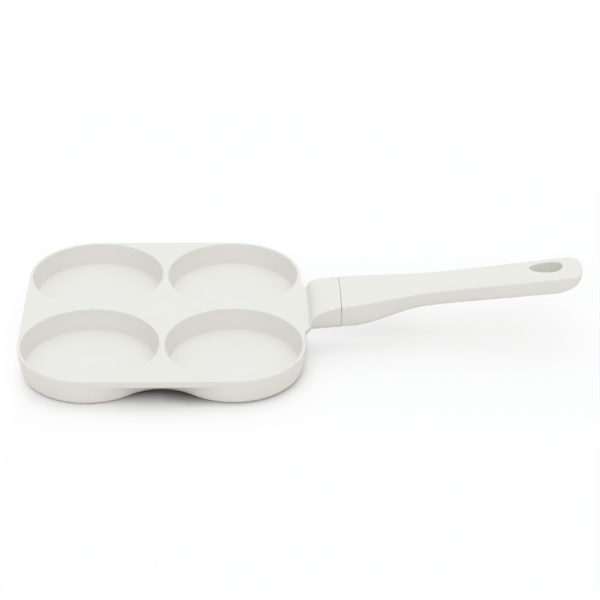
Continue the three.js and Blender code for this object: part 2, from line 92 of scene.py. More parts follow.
LUG_REACH = CUP_OFFSET * (1 - math.tan(LUG_ROOT_STEPS * math.tau / CUP_STEPS))

# Lug
LUG_STEP = 4.3 * MM
LUG_BLUNTNESS = 2.4
LUG_SLOPE_POWER = 3  # how late the lug's top takes the handle's slope
LUG_ROOT_HALF = 26.5 * MM
LUG_FILLET = LUG_REACH - LUG_ROOT_HALF
LUG_ROOT_TURNS = (10, 20, 30)  # stations along the root's fillet, in degrees
LUG_FOOT_ROUND = 1.1 * MM
LUG_FOOT_STEPS = 5
LUG_STATIONS = 16
LUG_KEEL = 1.25 * MM
LUG_KEEL_LENGTH = 12 * MM
LUG_BLEND = 7 * MM
SEAM_GAP = 0.16 * MM
SEAM_ROUND = 0.15 * MM
SEAM_OPENING = 0.3 * MM  # how much wider the seam is below the ridge
SEAM_OPENING_DEPTH = 2.5 * MM

# Handle
HANDLE_RISE = math.radians(6.65)
FRONT_HALF = 22 * MM
GRIP_HALF = 14 * MM
END_HALF = 15.2 * MM
SEAM_TAPER = 0.07
LUG_ROOT_TAPER = 3 * SEAM_TAPER
GRIP_STARTS = 72 * MM
RIDGE_ABOVE_RIM = 11.8 * MM
CROWN = 3.2 * MM
FRONT_DEPTH = RIDGE_ABOVE_RIM + FLANGE_THICKNESS + LUG_KEEL
BELLY_DEPTH = 18.9 * MM
BELLY_AT = 13 * MM
GRIP_DEPTH = 13 * MM
GRIP_DEPTH_AT = 57 * MM
END_DEPTH = 14.3 * MM
END_LENGTH = 16 * MM
END_UPSWEEP = 13.4 * MM  # how far the underside sweeps up to the end
END_SWEEP_POWER = 1.7
END_ROUND = 3.5 * MM  # length over which the top rolls down at the end
END_DROOP = 0.5 * MM
END_CAP = 8.6 * MM
END_BLUNTNESS = 3
END_TRIM = 0.3 * MM
RIDGE_ROUND = 0.8 * MM
SIDE_INSET = 1.6 * MM
KEEL_ROUND = 5 * MM
RIDGE_OF_DEPTH = 0.1  # largest shares of a section that its rounds take
INSET_OF_DEPTH = 0.12
KEEL_OF_DEPTH = 0.4
KEEL_OF_WIDTH = 0.5
RIDGE_STEPS = 4
KEEL_STEPS = 3
LAST_ROW = RIDGE_STEPS + KEEL_STEPS + 1
HANG_FROM_END = 19.6 * MM
HANG_RADIUS = 7.1 * MM
HANG_TAIL = 15.4 * MM
HANG_ROUND = 0.8 * MM
HANG_MARGIN = 3 * HANG_ROUND  # loops before and after the hole's rounded edge
HANG_CLEAR = 10.5 * MM  # faces that make way for the hole
HANG_CLEAR_TAIL = 19 * MM
ROUND_STEPS = 3  # steps of a small rounded edge
TOP_SHARES = (0, 0.15, 0.3, 0.45, 0.6, 0.72, 0.84, 0.93)
BOTTOM_SHARES = (0.75, 0.5, 0.25, 0)
HANDLE_PITCH = 2.8 * MM
END_STATIONS = 16
GRIP_SUBDIVISIONS = 2

# Joint between lug and handle
TENON_HALF = 13 * MM
TENON_LOW = 22 * MM
TENON_HIGH = 29 * MM
TENON_SQUARENESS = 8
FIT = 0.3 * MM
SOCKET_LIP = 0.4 * MM
SOCKET_STEPS = 9
SEAT_Z = flat_high.z
BORE_RADIUS = 5.3 * MM
BORE_ROUND = 0.5 * MM
BORE_MARGIN = 2 * BORE_ROUND
BORE_CLEAR = 7 * MM  # faces that make way for the bore
LEVEL_MARGIN = 1 * MM  # tells the socket's floor from the faces above and below it
LEVEL_ENOUGH = 0.5  # a face's normal along Z when it counts as level
EDGE_LOOP = 0.3 * MM  # distance of the loops that keep an edge crisp when it is subdivided
SCREW_RADIUS = 2.5 * MM
SCREW_HOLE_RADIUS = 2.8 * MM

MERGE = 0.004 * MM
SLACK = 0.05 * MM


# Shape of the lug and the handle, x measured from the pan's middle


def smooth(share):
    share = min(max(share, 0), 1)
    return share * share * (3 - 2 * share)


def curve(x, x0, y0, slope0, x1, y1, slope1):
    """A cubic through two points with the given slopes."""
    span = x1 - x0
    t = min(max((x - x0) / span, 0), 1)
    bend = slope0 * t * (1 - t) ** 2 - slope1 * t * t * (1 - t)
    return y0 + (y1 - y0) * smooth(t) + span * bend


def arc(x, z, radius, start, end, steps):
    """Points on a circle in the plane of a profile, angles in degrees."""
    turns = [math.radians(start + (end - start) * i / steps) for i in range(steps + 1)]
    return [(x + radius * math.cos(a), z + radius * math.sin(a)) for a in turns]


def edge_round(radius, steps):
    """Rows of a rounded edge, as (distance from the side, depth below the top)."""
    turns = [math.pi / 2 * i / steps for i in range(steps + 1)]
    return [(radius * (1 - math.sin(a)), radius * (1 - math.cos(a))) for a in turns]


def side_rows(half_width, ridge_z, crown, depth):
    """Rows from the ridge's top down to the keel, as (inset from the side, height)."""
    keel = min(KEEL_ROUND, KEEL_OF_DEPTH * depth, KEEL_OF_WIDTH * half_width)
    inset = min(SIDE_INSET, INSET_OF_DEPTH * depth)
    ridge = min(RIDGE_ROUND, RIDGE_OF_DEPTH * depth)
    bottom = ridge_z - depth
    top_z = ridge_z + crown * (1 - (1 - ridge / half_width) ** 2)
    rows = []
    for i in range(RIDGE_STEPS + 1):
        t = i / RIDGE_STEPS
        rows.append((
            ridge * (1 - t) ** 2,
            top_z * (1 - t) ** 2 + ridge_z * 2 * t * (1 - t) + (ridge_z - ridge) * t * t,
        ))
    return rows + [(inset + across, bottom + up) for up, across in edge_round(keel, KEEL_STEPS)]


def flange_rows():
    """The flange's edge in as many rows: its top round and its leaning side."""
    rows = [(inset, RIM_Z - drop) for inset, drop in edge_round(RIM_ROUND, RIDGE_STEPS)]
    for i in range(1, KEEL_STEPS + 2):
        share = i / (KEEL_STEPS + 1)
        rows.append((EDGE_LEAN * share, RIM_Z - RIM_ROUND + (RIM_ROUND - FLANGE_THICKNESS) * share))
    return rows


def lug_half_width(x):
    taper = curve(x, BODY_HALF, LUG_ROOT_HALF, -LUG_ROOT_TAPER, SEAM_X, FRONT_HALF, -SEAM_TAPER)
    to_end = min(BODY_HALF + LUG_FILLET - x, LUG_FILLET)
    if to_end <= 0:
        return taper
    return taper + LUG_FILLET - math.sqrt(LUG_FILLET ** 2 - to_end ** 2)


def lug_normal(x):
    """Outward direction of the lug's front side in plan."""
    step = 0.01 * MM
    slope = (lug_half_width(x + step) - lug_half_width(x - step)) / (2 * step)
    return Vector((-slope, -1)).normalized()


class Station:
    """One cross section of the lug or the handle, front half."""

    opening = 0.0

    def __init__(self, x, half_width, ridge_z, crown, depth, normal=(0, -1), shrink=0.0):
        self.x = x
        self.half_width = half_width - shrink
        self.ridge_z = ridge_z - shrink
        self.crown = crown
        self.normal = Vector(normal)
        self.rows = side_rows(self.half_width, self.ridge_z, crown, depth - 2 * shrink)

    def x_at(self, z):
        return self.x + self.opening * smooth((self.ridge_z - z) / SEAM_OPENING_DEPTH)

    def side(self, row):
        inset, z = self.rows[row]
        return Vector((
            self.x_at(z) - self.normal.x * inset,
            -self.half_width - self.normal.y * inset,
            z,
        ))

    def top(self, share):
        edge = self.side(0)
        y = edge.y * share
        rise = self.crown * (1 - (y / self.half_width) ** 2)
        return Vector((self.x + (edge.x - self.x) * share ** 2, y, self.ridge_z + rise))

    def under(self, share):
        edge = self.side(LAST_ROW)
        x = self.x_at(edge.z)
        return Vector((x + (edge.x - x) * share ** 2, edge.y * share, edge.z))


def lug_station(x, lift, shrink=0.0):
    """A section of the lug whose ridge stands lift above the rim."""
    rise = lift / RIDGE_ABOVE_RIM
    bottom = FLANGE_Z - LUG_KEEL * smooth((x - BODY_HALF) / LUG_KEEL_LENGTH)
    ridge_z = RIM_Z + lift
    station = Station(
        x, lug_half_width(x), ridge_z, CROWN * rise, ridge_z - bottom, lug_normal(x), shrink
    )
    share = smooth((x - BODY_HALF) / LUG_BLEND)
    station.rows = [
        (flat[0] + (own[0] - flat[0]) * share, flat[1] + (own[1] - flat[1]) * share)
        for flat, own in zip(flange_rows(), station.rows)
    ]
    return station


def lug_stations():
    """Flat from the flange, a small fillet, then a blunt curve up to the handle's ridge."""
    face_x = SEAM_X - SEAM_GAP / 2
    rise_x = BODY_HALF + LUG_STEP
    span = face_x - rise_x
    path = []
    for degrees in LUG_ROOT_TURNS:
        path.append((BODY_HALF + LUG_FILLET * (1 - math.cos(math.radians(degrees))), 0))
    path += arc(rise_x - LUG_FOOT_ROUND, LUG_FOOT_ROUND, LUG_FOOT_ROUND, -90, 0, LUG_FOOT_STEPS)
    power = 2 / LUG_BLUNTNESS
    first = math.asin((LUG_FOOT_ROUND / RIDGE_ABOVE_RIM) ** (1 / power))
    for i in range(1, LUG_STATIONS + 1):
        turn = first + (math.pi / 2 - first) * i / LUG_STATIONS
        x = rise_x + span * (1 - max(math.cos(turn), 0) ** power)
        rise = math.sin(turn) ** power
        slope = math.tan(HANDLE_RISE) * (face_x - x) * rise ** LUG_SLOPE_POWER
        path.append((x, RIDGE_ABOVE_RIM * rise - slope))
    stations = [lug_station(x, lift) for x, lift in path[:-1]]
    stations.append(lug_station(face_x - SEAM_ROUND, path[-1][1]))
    stations.append(lug_station(face_x, path[-1][1], SEAM_ROUND))
    return stations


def handle_half_width(along):
    if along < GRIP_STARTS:
        return curve(along, 0, FRONT_HALF, -SEAM_TAPER, GRIP_STARTS, GRIP_HALF, 0)
    return curve(along, GRIP_STARTS, GRIP_HALF, 0, HANDLE_LENGTH, END_HALF, 0)


def handle_depth(along):
    if along < BELLY_AT:
        return curve(along, 0, FRONT_DEPTH, 0, BELLY_AT, BELLY_DEPTH, 0)
    if along < GRIP_DEPTH_AT:
        return curve(along, BELLY_AT, BELLY_DEPTH, 0, GRIP_DEPTH_AT, GRIP_DEPTH, 0)
    share = (along - GRIP_DEPTH_AT) / (HANDLE_LENGTH - GRIP_DEPTH_AT)
    return GRIP_DEPTH + (END_DEPTH - GRIP_DEPTH) * share


def handle_ridge(along):
    return RIM_Z + RIDGE_ABOVE_RIM + along * math.tan(HANDLE_RISE)


def end_share(from_end):
    """Share of the width that is left at a distance from the handle's end."""
    into = min(max(1 - from_end / END_CAP, 0), 1)
    return (1 - into ** END_BLUNTNESS) ** (1 / END_BLUNTNESS)


def handle_station(along, shrink=0.0):
    straight = HANDLE_LENGTH - END_LENGTH
    half_width = handle_half_width(along)
    ridge_z = handle_ridge(along)
    depth = handle_depth(along)
    if along > straight:
        sweep = min((along - straight) / END_LENGTH, 1) ** END_SWEEP_POWER
        closing = 1 - (1 - sweep) ** (1 / END_SWEEP_POWER)
        into = max(END_ROUND - (HANDLE_LENGTH - along), 0) / END_ROUND
        droop = END_DROOP * (1 - math.sqrt(max(1 - into ** 2, 0)))
        half_width *= end_share(HANDLE_LENGTH - along + END_TRIM)
        ridge_z -= droop
        depth -= droop + END_UPSWEEP * closing
    return Station(SEAM_X + along, half_width, ridge_z, CROWN, depth, shrink=shrink)


def handle_stations():
    start = SEAM_GAP / 2
    straight = HANDLE_LENGTH - END_LENGTH
    stations = [handle_station(start, SEAM_ROUND), handle_station(start + SEAM_ROUND)]
    for station in stations:
        station.opening = SEAM_OPENING
    steps = round((straight - start) / HANDLE_PITCH)
    for i in range(1, steps + 1):
        stations.append(handle_station(start + (straight - start) * i / steps))
    for i in range(1, END_STATIONS + 1):
        turn = math.pi / 2 * i / END_STATIONS
        stations.append(handle_station(straight + END_LENGTH * math.sin(turn)))
    return stations


# Mesh helpers


def pull(bm, edges, place):
    """Extrudes edges; place gives each new vertex its position from the one it came from.
    Returns the new front edges and the new vertex of each old one."""
    made = bmesh.ops.extrude_edge_only(bm, edges=edges)["geom"]
    fresh = {item for item in made if isinstance(item, bmesh.types.BMVert)}
    grown = {}
    for vert in fresh:
        for edge in vert.link_edges:
            source = edge.other_vert(vert)
            if source not in fresh:
                grown[source] = vert
    for source, vert in grown.items():
        vert.co = place(source)
    front = [
        item for item in made
        if isinstance(item, bmesh.types.BMEdge) and fresh.issuperset(item.verts)
    ]
    return front, grown


def chain(bm, points):
    verts = [bm.verts.new(point) for point in points]
    return [bm.edges.new(pair) for pair in zip(verts, verts[1:])]


def closed_chain(bm, points):
    edges = chain(bm, points)
    return edges + [bm.edges.new((edges[-1].verts[1], edges[0].verts[0]))]


def ends(edges):
    return list({vert for edge in edges for vert in edge.verts})


def weld(bm):
    bmesh.ops.remove_doubles(bm, verts=bm.verts[:], dist=MERGE)


def spin(bm, edges, centre, **turn):
    """Sweeps edges round an upright axis through centre."""
    bmesh.ops.spin(bm, geom=ends(edges) + edges, cent=(*centre, 0), axis=(0, 0, 1), **turn)


def turn_profile(bm, points, centre, steps):
    """Turns a profile of (radius, height) points into a round body."""
    edges = chain(bm, [(centre[0] + radius, centre[1], z) for radius, z in points])
    spin(bm, edges, centre, angle=math.tau, steps=steps, use_merge=True)
    weld(bm)


def mirror_all(bm, axis):
    bmesh.ops.mirror(bm, geom=bm.verts[:] + bm.edges[:] + bm.faces[:], axis=axis, merge_dist=MERGE)
    weld(bm)


def open_edges(bm):
    return [edge for edge in bm.edges if edge.is_boundary]


def cut_out(bm, picked):
    """Deletes faces and returns the border that they leave."""
    border = [
        edge for edge in bm.edges
        if sum(face in picked for face in edge.link_faces) == 1
    ]
    bmesh.ops.delete(bm, geom=list(picked), context="FACES")
    return border


def point_outwards(bm):
    bmesh.ops.recalc_face_normals(bm, faces=bm.faces[:])
    bm.normal_update()


def finished_mesh(name, bm):
    mesh = bpy.data.meshes.new(name)
    bm.to_mesh(mesh)
    bm.free()
    return mesh


def put_in_scene(name, data):
    item = bpy.data.objects.new(name, data)
    bpy.context.scene.collection.objects.link(item)
    return item


def join(bm, other):
    """Moves the other bmesh into bm."""
    carrier = finished_mesh("carrier", other)
    bm.from_mesh(carrier)
    bpy.data.meshes.remove(carrier)


def make_piece(name, bm, materials, nodes, sharp=None):
    """Turns a bmesh into a finished piece that rides on the pan and stands for its CAD nodes.
    Edges of more than sharp degrees stay crisp."""
    bmesh.ops.translate(bm, verts=bm.verts[:], vec=(PAN_X, 0, 0))
    point_outwards(bm)
    mesh = finished_mesh(name, bm)
    mesh.shade_smooth()
    if sharp is not None:
        mesh.set_sharp_from_angle(angle=math.radians(sharp))
    piece = put_in_scene(name, mesh)
    for material in materials:
        mesh.materials.append(material)
    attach(piece, "root")
    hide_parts(*nodes)
    return piece


def weigh_normals(piece):
    weighted = piece.modifiers.new("weighted normals", "WEIGHTED_NORMAL")
    weighted.keep_sharp = True


# Casting


def flange_point(angle, reach):
    """From the front right cup's middle to the edge of its quarter of the flange.
    The outer corner is round about the cup, the other sides are straight."""
    across, along = math.cos(angle), math.sin(angle)
    nothing = 1e-6
    if across > -nothing and along < nothing:
        return reach * across, reach * along
    larger = max(abs(across), abs(along))
    u, v = across / larger, along / larger
    return u * (reach if u > 0 else CUP_OFFSET), v * (CUP_OFFSET if v > 0 else reach)


def wall_fillet(rim_radius, flat_z, fillet):
    """Middle of a fillet between a cup's leaning wall and a flat."""
    z = flat_z + fillet
    return rim_radius - (RIM_Z - z) * math.tan(DRAFT) - fillet / math.cos(DRAFT), z


def spread_to_flange(bm, reach, z):
    """Extrudes a cup's open ring to the edge of its quarter of the flange."""

    def place(vert):
        angle = math.atan2(vert.co.y + CUP_OFFSET, vert.co.x - CUP_OFFSET)
        across, along = flange_point(angle, reach)
        return Vector((CUP_OFFSET + across, along - CUP_OFFSET, z))

    pull(bm, open_edges(bm), place)
    weld(bm)


def lug_root_edges(bm, x):
    """Open edges of the flange's right side that the lug grows from."""
    return [
        edge for edge in open_edges(bm)
        if all(abs(vert.co.x - x) < SLACK and vert.co.y > -LUG_REACH - SLACK for vert in edge.verts)
    ]


def grow_lug(bm, edges, stations, place):
    """Extrudes the flange's edge through the lug's stations. Returns the front column of vertices."""
    share = {vert: -vert.co.y / LUG_REACH for vert in ends(edges)}
    column = []
    for station in stations:
        edges, grown = pull(bm, edges, lambda vert: place(station, share[vert]))
        share = {vert: share[source] for source, vert in grown.items()}
        column.append(max(share, key=share.get))
    return column


def casting_top(bm, stations):
    """Insides of the front cups, the flange's top and the lug's top. Returns the lug's side column."""
    floor_z = RIM_Z - CUP_DEPTH
    corner = wall_fillet(RIM_RADIUS, floor_z, FLOOR_FILLET)
    round_x = RIM_RADIUS - RIM_ROUND * math.tan(DRAFT) + RIM_ROUND / math.cos(DRAFT)
    lean = math.degrees(DRAFT)
    profile = [(0, floor_z), (corner[0] / 2, floor_z), (corner[0] - FLOOR_MARGIN, floor_z)]
    profile += arc(*corner, FLOOR_FILLET, -90, -lean, FILLET_STEPS)
    profile += arc(round_x, RIM_Z - RIM_ROUND, RIM_ROUND, 180 - lean, 90, RIM_STEPS)
    turn_profile(bm, profile, (CUP_OFFSET, -CUP_OFFSET), CUP_STEPS)
    spread_to_flange(bm, OUTER_RADIUS - RIM_ROUND, RIM_Z)
    mirror_all(bm, "X")
    edges = lug_root_edges(bm, BODY_HALF - RIM_ROUND)
    return grow_lug(bm, edges, stations, lambda station, share: station.top(share))


def flange_normal(co):
    """Outward direction in plan at the flange's front edge."""
    side = math.copysign(1, co.x)
    across, along = co.x - side * CUP_OFFSET, co.y + CUP_OFFSET
    if along >= -MERGE:
        return Vector((side, 0))
    if across * side <= MERGE:
        return Vector((0, -1))
    return Vector((across, along)).normalized()


def casting_side(bm, stations, column):
    """Extrudes the outline of flange and lug down through its rows."""
    end_x = stations[-1].x - SLACK
    edges = [
        edge for edge in open_edges(bm)
        if not all(abs(vert.co.y) < SLACK for vert in edge.verts)
        and not all(vert.co.x > end_x for vert in edge.verts)
    ]
    on_lug = dict(zip(column, stations))
    edge_rows = flange_rows()
    outline = {}
    for vert in ends(edges):
        if vert in on_lug:
            outline[vert] = on_lug[vert].side
            continue
        normal = flange_normal(vert.co)
        base = vert.co.xy + normal * RIM_ROUND
        outline[vert] = lambda row, base=base, normal=normal: Vector((
            base.x - normal.x * edge_rows[row][0],
            base.y - normal.y * edge_rows[row][0],
            edge_rows[row][1],
        ))
    for row in range(1, LAST_ROW + 1):
        edges, grown = pull(bm, edges, lambda vert: outline[vert](row))
        outline = {vert: outline[source] for source, vert in grown.items()}


def hollow_point(step, radius, on_edge):
    """Where the casting runs between a cup and its neighbour, as distances from the cup's middle towards
    the neighbour and towards the pan's outside. Step counts facets from the line of the two cups, and
    radius is the cup's own at that height."""
    side = 1 if step > 0 else -1
    hollow = OUTER_HOLLOW if side > 0 else INNER_HOLLOW
    first, last = OUTER_HOLLOW_STEPS if side > 0 else INNER_HOLLOW_STEPS
    step = abs(step)
    middle = CUP_OFFSET * math.tan(hollow)
    hollow_radius = CUP_OFFSET / math.cos(hollow) - radius
    notch = middle - hollow_radius
    if on_edge:
        flange_end = OUTER_RADIUS - EDGE_LEAN if side > 0 else CUP_OFFSET
        share = (step - first) / (CORNER_STEP - first)
        return CUP_OFFSET, side * (notch + (flange_end - notch) * share)
    if step <= first:
        return CUP_OFFSET, side * notch * step / first
    turn = (math.pi / 2 - hollow) * (step - first) / (last - first)
    return CUP_OFFSET - hollow_radius * math.sin(turn), side * (middle - hollow_radius * math.cos(turn))


def bridge_cups(bm, sole_radius):
    """Runs the front right cup's outside into its neighbours' and joins their soles."""
    wall_top = OUTER_RADIUS - EDGE_LEAN
    cup = Vector((CUP_OFFSET, -CUP_OFFSET))
    neighbours = ((Vector((-1, 0)), Vector((0, -1))), (Vector((0, 1)), Vector((1, 0))))
    buried = []
    for vert in bm.verts:
        reach = vert.co.xy - cup
        radius = reach.length
        if radius < sole_radius - SLACK:
            continue
        on_edge = radius > wall_top + SLACK
        for toward, outward in neighbours:
            step = round(math.atan2(reach.dot(outward), reach.dot(toward)) * CUP_STEPS / math.tau)
            first, last = OUTER_HOLLOW_STEPS if step > 0 else INNER_HOLLOW_STEPS
            if on_edge:
                last = CORNER_STEP
            if abs(step) > last:
                continue
            if abs(step) < first and vert.co.z > SLACK:
                buried.append(vert)
                continue
            near, out = hollow_point(step, wall_top if on_edge else radius, on_edge)
            vert.co.xy = cup + toward * near + outward * out
    bmesh.ops.delete(bm, geom=buried, context="VERTS")
    weld(bm)


def casting_under(stations):
    """Outsides of the front cups, the flange's underside and the lug's keel."""
    bm = bmesh.new()
    foot = wall_fillet(OUTER_RADIUS, 0, FOOT_FILLET)
    recess = DISC_RADIUS + DISC_CLEARANCE
    profile = [(0, DISC_TOP), (recess, DISC_TOP)]
    profile += arc(recess + FOOT_LIP, FOOT_LIP, FOOT_LIP, 180, 270, LIP_STEPS)
    profile += arc(*foot, FOOT_FILLET, -90, -math.degrees(DRAFT), FILLET_STEPS)
    profile.append((OUTER_RADIUS - EDGE_LEAN, FLANGE_Z))
    turn_profile(bm, profile, (CUP_OFFSET, -CUP_OFFSET), CUP_STEPS)
    spread_to_flange(bm, OUTER_RADIUS - EDGE_LEAN, FLANGE_Z)
    bridge_cups(bm, foot[0])
    mirror_all(bm, "X")
    edges = lug_root_edges(bm, BODY_HALF - EDGE_LEAN)
    grow_lug(bm, edges, stations, lambda station, share: station.under(share))
    return bm


def boxed_ring(co, half, low, high):
    """Point of a round cornered rectangle, seen along X, in the direction of co."""
    seam_low = FLANGE_Z - LUG_KEEL
    seam_high = RIM_Z + RIDGE_ABOVE_RIM + CROWN
    seam_up = (2 * co.z - seam_low - seam_high) / (seam_high - seam_low)
    angle = math.atan2(seam_up, co.y / FRONT_HALF)
    across, up = math.cos(angle), math.sin(angle)
    power = TENON_SQUARENESS
    reach = (abs(across) ** power + abs(up) ** power) ** (-1 / power)
    return Vector((co.x, half * across * reach, (low + high + (high - low) * up * reach) / 2))


def pan_casting():
    bm = bmesh.new()
    stations = lug_stations()
    column = casting_top(bm, stations)
    casting_side(bm, stations, column)
    join(bm, casting_under(stations))
    weld(bm)
    mirror_all(bm, "Y")
    edges, _ = pull(
        bm, open_edges(bm), lambda vert: boxed_ring(vert.co, TENON_HALF, TENON_LOW, TENON_HIGH)
    )
    edges, _ = pull(bm, edges, lambda vert: Vector((TENON_END_X, vert.co.y, vert.co.z)))
    bmesh.ops.edgeloop_fill(bm, edges=edges)
    return bm


# Handle


def surface_z(x, y, under):
    """Height of the handle's crowned top or of its flat underside."""
    station = handle_station(x - SEAM_X)
    if under:
        return station.rows[LAST_ROW][1]
    return station.ridge_z + station.crown * (1 - (y / station.half_width) ** 2)


def mouth(bm, picked, outline, rows, under):
    """Opens the picked faces and draws their border to an outline, one loop a row.
    A row is (growth of the outline, depth below the surface)."""
    border = cut_out(bm, picked)
    sign = 1 if under else -1
    for growth, depth in rows:

        def place(vert):
            x, y = outline(vert.co, growth)
            return Vector((x, y, surface_z(x, y, under) + sign * depth))

        border, _ = pull(bm, border, place)
    return border


def faces_near(bm, x, reach, tail, up, below=math.inf):
    """Faces that look up (up 1) or down (up -1), within reach of the middle line at x and below a
    height. Towards the pan they may lie as far off as tail."""
    found = set()
    for face in bm.faces:
        middle = face.calc_center_median()
        if face.normal.z * up < LEVEL_ENOUGH or abs(middle.y) > reach or middle.z >= below:
            continue
        if x - tail < middle.x < x + reach:
            found.add(face)
    return found


def egg(middle_x):
    """Outline of the hang hole: a half circle to the end, a long half ellipse to the pan."""

    def outline(co, growth):
        across = co.x - middle_x
        length = (HANG_RADIUS if across > 0 else HANG_TAIL) + growth
        u, v = across / length, co.y / (HANG_RADIUS + growth)
        reach = math.hypot(u, v)
        return middle_x + u / reach * length, v / reach * (HANG_RADIUS + growth)

    return outline


def circle(middle_x, radius):
    def outline(co, growth):
        across = Vector((co.x - middle_x, co.y)).normalized() * (radius + growth)
        return middle_x + across.x, across.y

    return outline


def hang_hole(bm):
    along = HANDLE_LENGTH - HANG_FROM_END
    top_x = SEAM_X + along - CROWN * math.tan(HANDLE_RISE)
    low_x = SEAM_X + along + handle_depth(along) * math.tan(HANDLE_RISE)
    picked_top = faces_near(bm, top_x, HANG_CLEAR, HANG_CLEAR_TAIL, 1)
    picked_low = faces_near(bm, top_x, HANG_CLEAR, HANG_CLEAR_TAIL, -1)
    rows = [(HANG_MARGIN, 0)] + edge_round(HANG_ROUND, ROUND_STEPS) + [(0, HANG_MARGIN)]
    upper = mouth(bm, picked_top, egg(top_x), rows, under=False)
    lower = mouth(bm, picked_low, egg(low_x), rows[1:], under=True)
    bmesh.ops.bridge_loops(bm, edges=upper + lower)


def tenon_socket(bm):
    """Draws the handle's front edge into the socket for the lug's tenon."""
    seam = [edge for edge in open_edges(bm) if edge.verts[0].co.x < SEAM_X + END_LENGTH]
    low, high, half = TENON_LOW - FIT, TENON_HIGH + FIT, TENON_HALF + FIT
    for lip in (SOCKET_LIP, 0):
        seam, _ = pull(
            bm, seam, lambda vert: boxed_ring(vert.co, half + lip, low - lip, high + lip)
        )
    depth = TENON_END_X + FIT - SEAM_X
    for i in range(1, SOCKET_STEPS + 1):
        x = SEAM_X + depth * i / SOCKET_STEPS
        seam, _ = pull(bm, seam, lambda vert: Vector((x, vert.co.y, vert.co.z)))
    bmesh.ops.edgeloop_fill(bm, edges=seam)
    point_outwards(bm)


def draw_rings(bm, edges, rings):
    """Extrudes a loop round the screw through rings of (radius, height)."""
    for radius, z in rings:
        outline = circle(SCREW_X, radius)
        edges, _ = pull(bm, edges, lambda vert: Vector((*outline(vert.co, 0), z)))
    return edges


def screw_bore(bm):
    """The screw's counterbore from below, and its hole up into the socket."""
    socket_low = TENON_LOW - FIT
    floor = faces_near(bm, SCREW_X, BORE_CLEAR, BORE_CLEAR, 1, below=TENON_LOW + LEVEL_MARGIN)
    under = faces_near(bm, SCREW_X, BORE_CLEAR, BORE_CLEAR, -1, below=TENON_LOW - LEVEL_MARGIN)
    rows = [(BORE_MARGIN, 0)] + edge_round(BORE_ROUND, ROUND_STEPS)
    lower = mouth(bm, under, circle(SCREW_X, BORE_RADIUS), rows, under=True)
    lower = draw_rings(bm, lower, (
        (BORE_RADIUS, SEAT_Z - EDGE_LOOP),
        (BORE_RADIUS, SEAT_Z),
        (BORE_RADIUS - EDGE_LOOP, SEAT_Z),
        (SCREW_HOLE_RADIUS + EDGE_LOOP, SEAT_Z),
        (SCREW_HOLE_RADIUS, SEAT_Z),
        (SCREW_HOLE_RADIUS, SEAT_Z + EDGE_LOOP),
    ))
    upper = draw_rings(bm, cut_out(bm, floor), (
        (SCREW_HOLE_RADIUS + EDGE_LOOP, socket_low),
        (SCREW_HOLE_RADIUS, socket_low),
        (SCREW_HOLE_RADIUS, socket_low - EDGE_LOOP),
    ))
    bmesh.ops.bridge_loops(bm, edges=lower + upper)


def handle_grip():
    bm = bmesh.new()
    stations = handle_stations()
    places = [lambda s, share=share: s.top(share) for share in TOP_SHARES]
    places += [lambda s, row=row: s.side(row) for row in range(LAST_ROW + 1)]
    places += [lambda s, share=share: s.under(share) for share in BOTTOM_SHARES]
    edges = chain(bm, [place(stations[0]) for place in places])
    order = [edges[0].verts[0]] + [edge.verts[1] for edge in edges]
    number = {vert: i for i, vert in enumerate(order)}
    for station in stations[1:]:
        edges, grown = pull(bm, edges, lambda vert: places[number[vert]](station))
        number = {vert: number[source] for source, vert in grown.items()}
    mirror_all(bm, "Y")
    point_outwards(bm)
    tip = [edge for edge in open_edges(bm) if edge.verts[0].co.x > stations[-2].x]
    bmesh.ops.edgeloop_fill(bm, edges=tip)
    hang_hole(bm)
    tenon_socket(bm)
    screw_bore(bm)
    return bm


# Base discs and fasteners


HOLE_RADIUS = 2.8 * MM
HOLE_RING_STEP = 13 * MM
HOLE_RINGS = 2
FIRST_RING_HOLES = 6
HOLE_STEPS = 20
DISC_STEPS = 96
DISC_ROUND = 0.2 * MM
STUD_STEPS = 16
STUD_ROUND_STEPS = 2
STUD_GAP = 0.15 * MM
STUD_SUNK = 0.06 * MM
STUD_ROOT = 0.2 * MM  # how far a stud reaches into the casting


def hole_places():
    """Middles of the disc's holes: one in the centre and rings of six and twelve round it."""
    places = [(0.0, 0.0)]
    for ring in range(1, HOLE_RINGS + 1):
        radius = HOLE_RING_STEP * ring
        count = FIRST_RING_HOLES * ring
        for i in range(count):
            angle = math.tau * i / count
            places.append((radius * math.cos(angle), radius * math.sin(angle)))
    return places


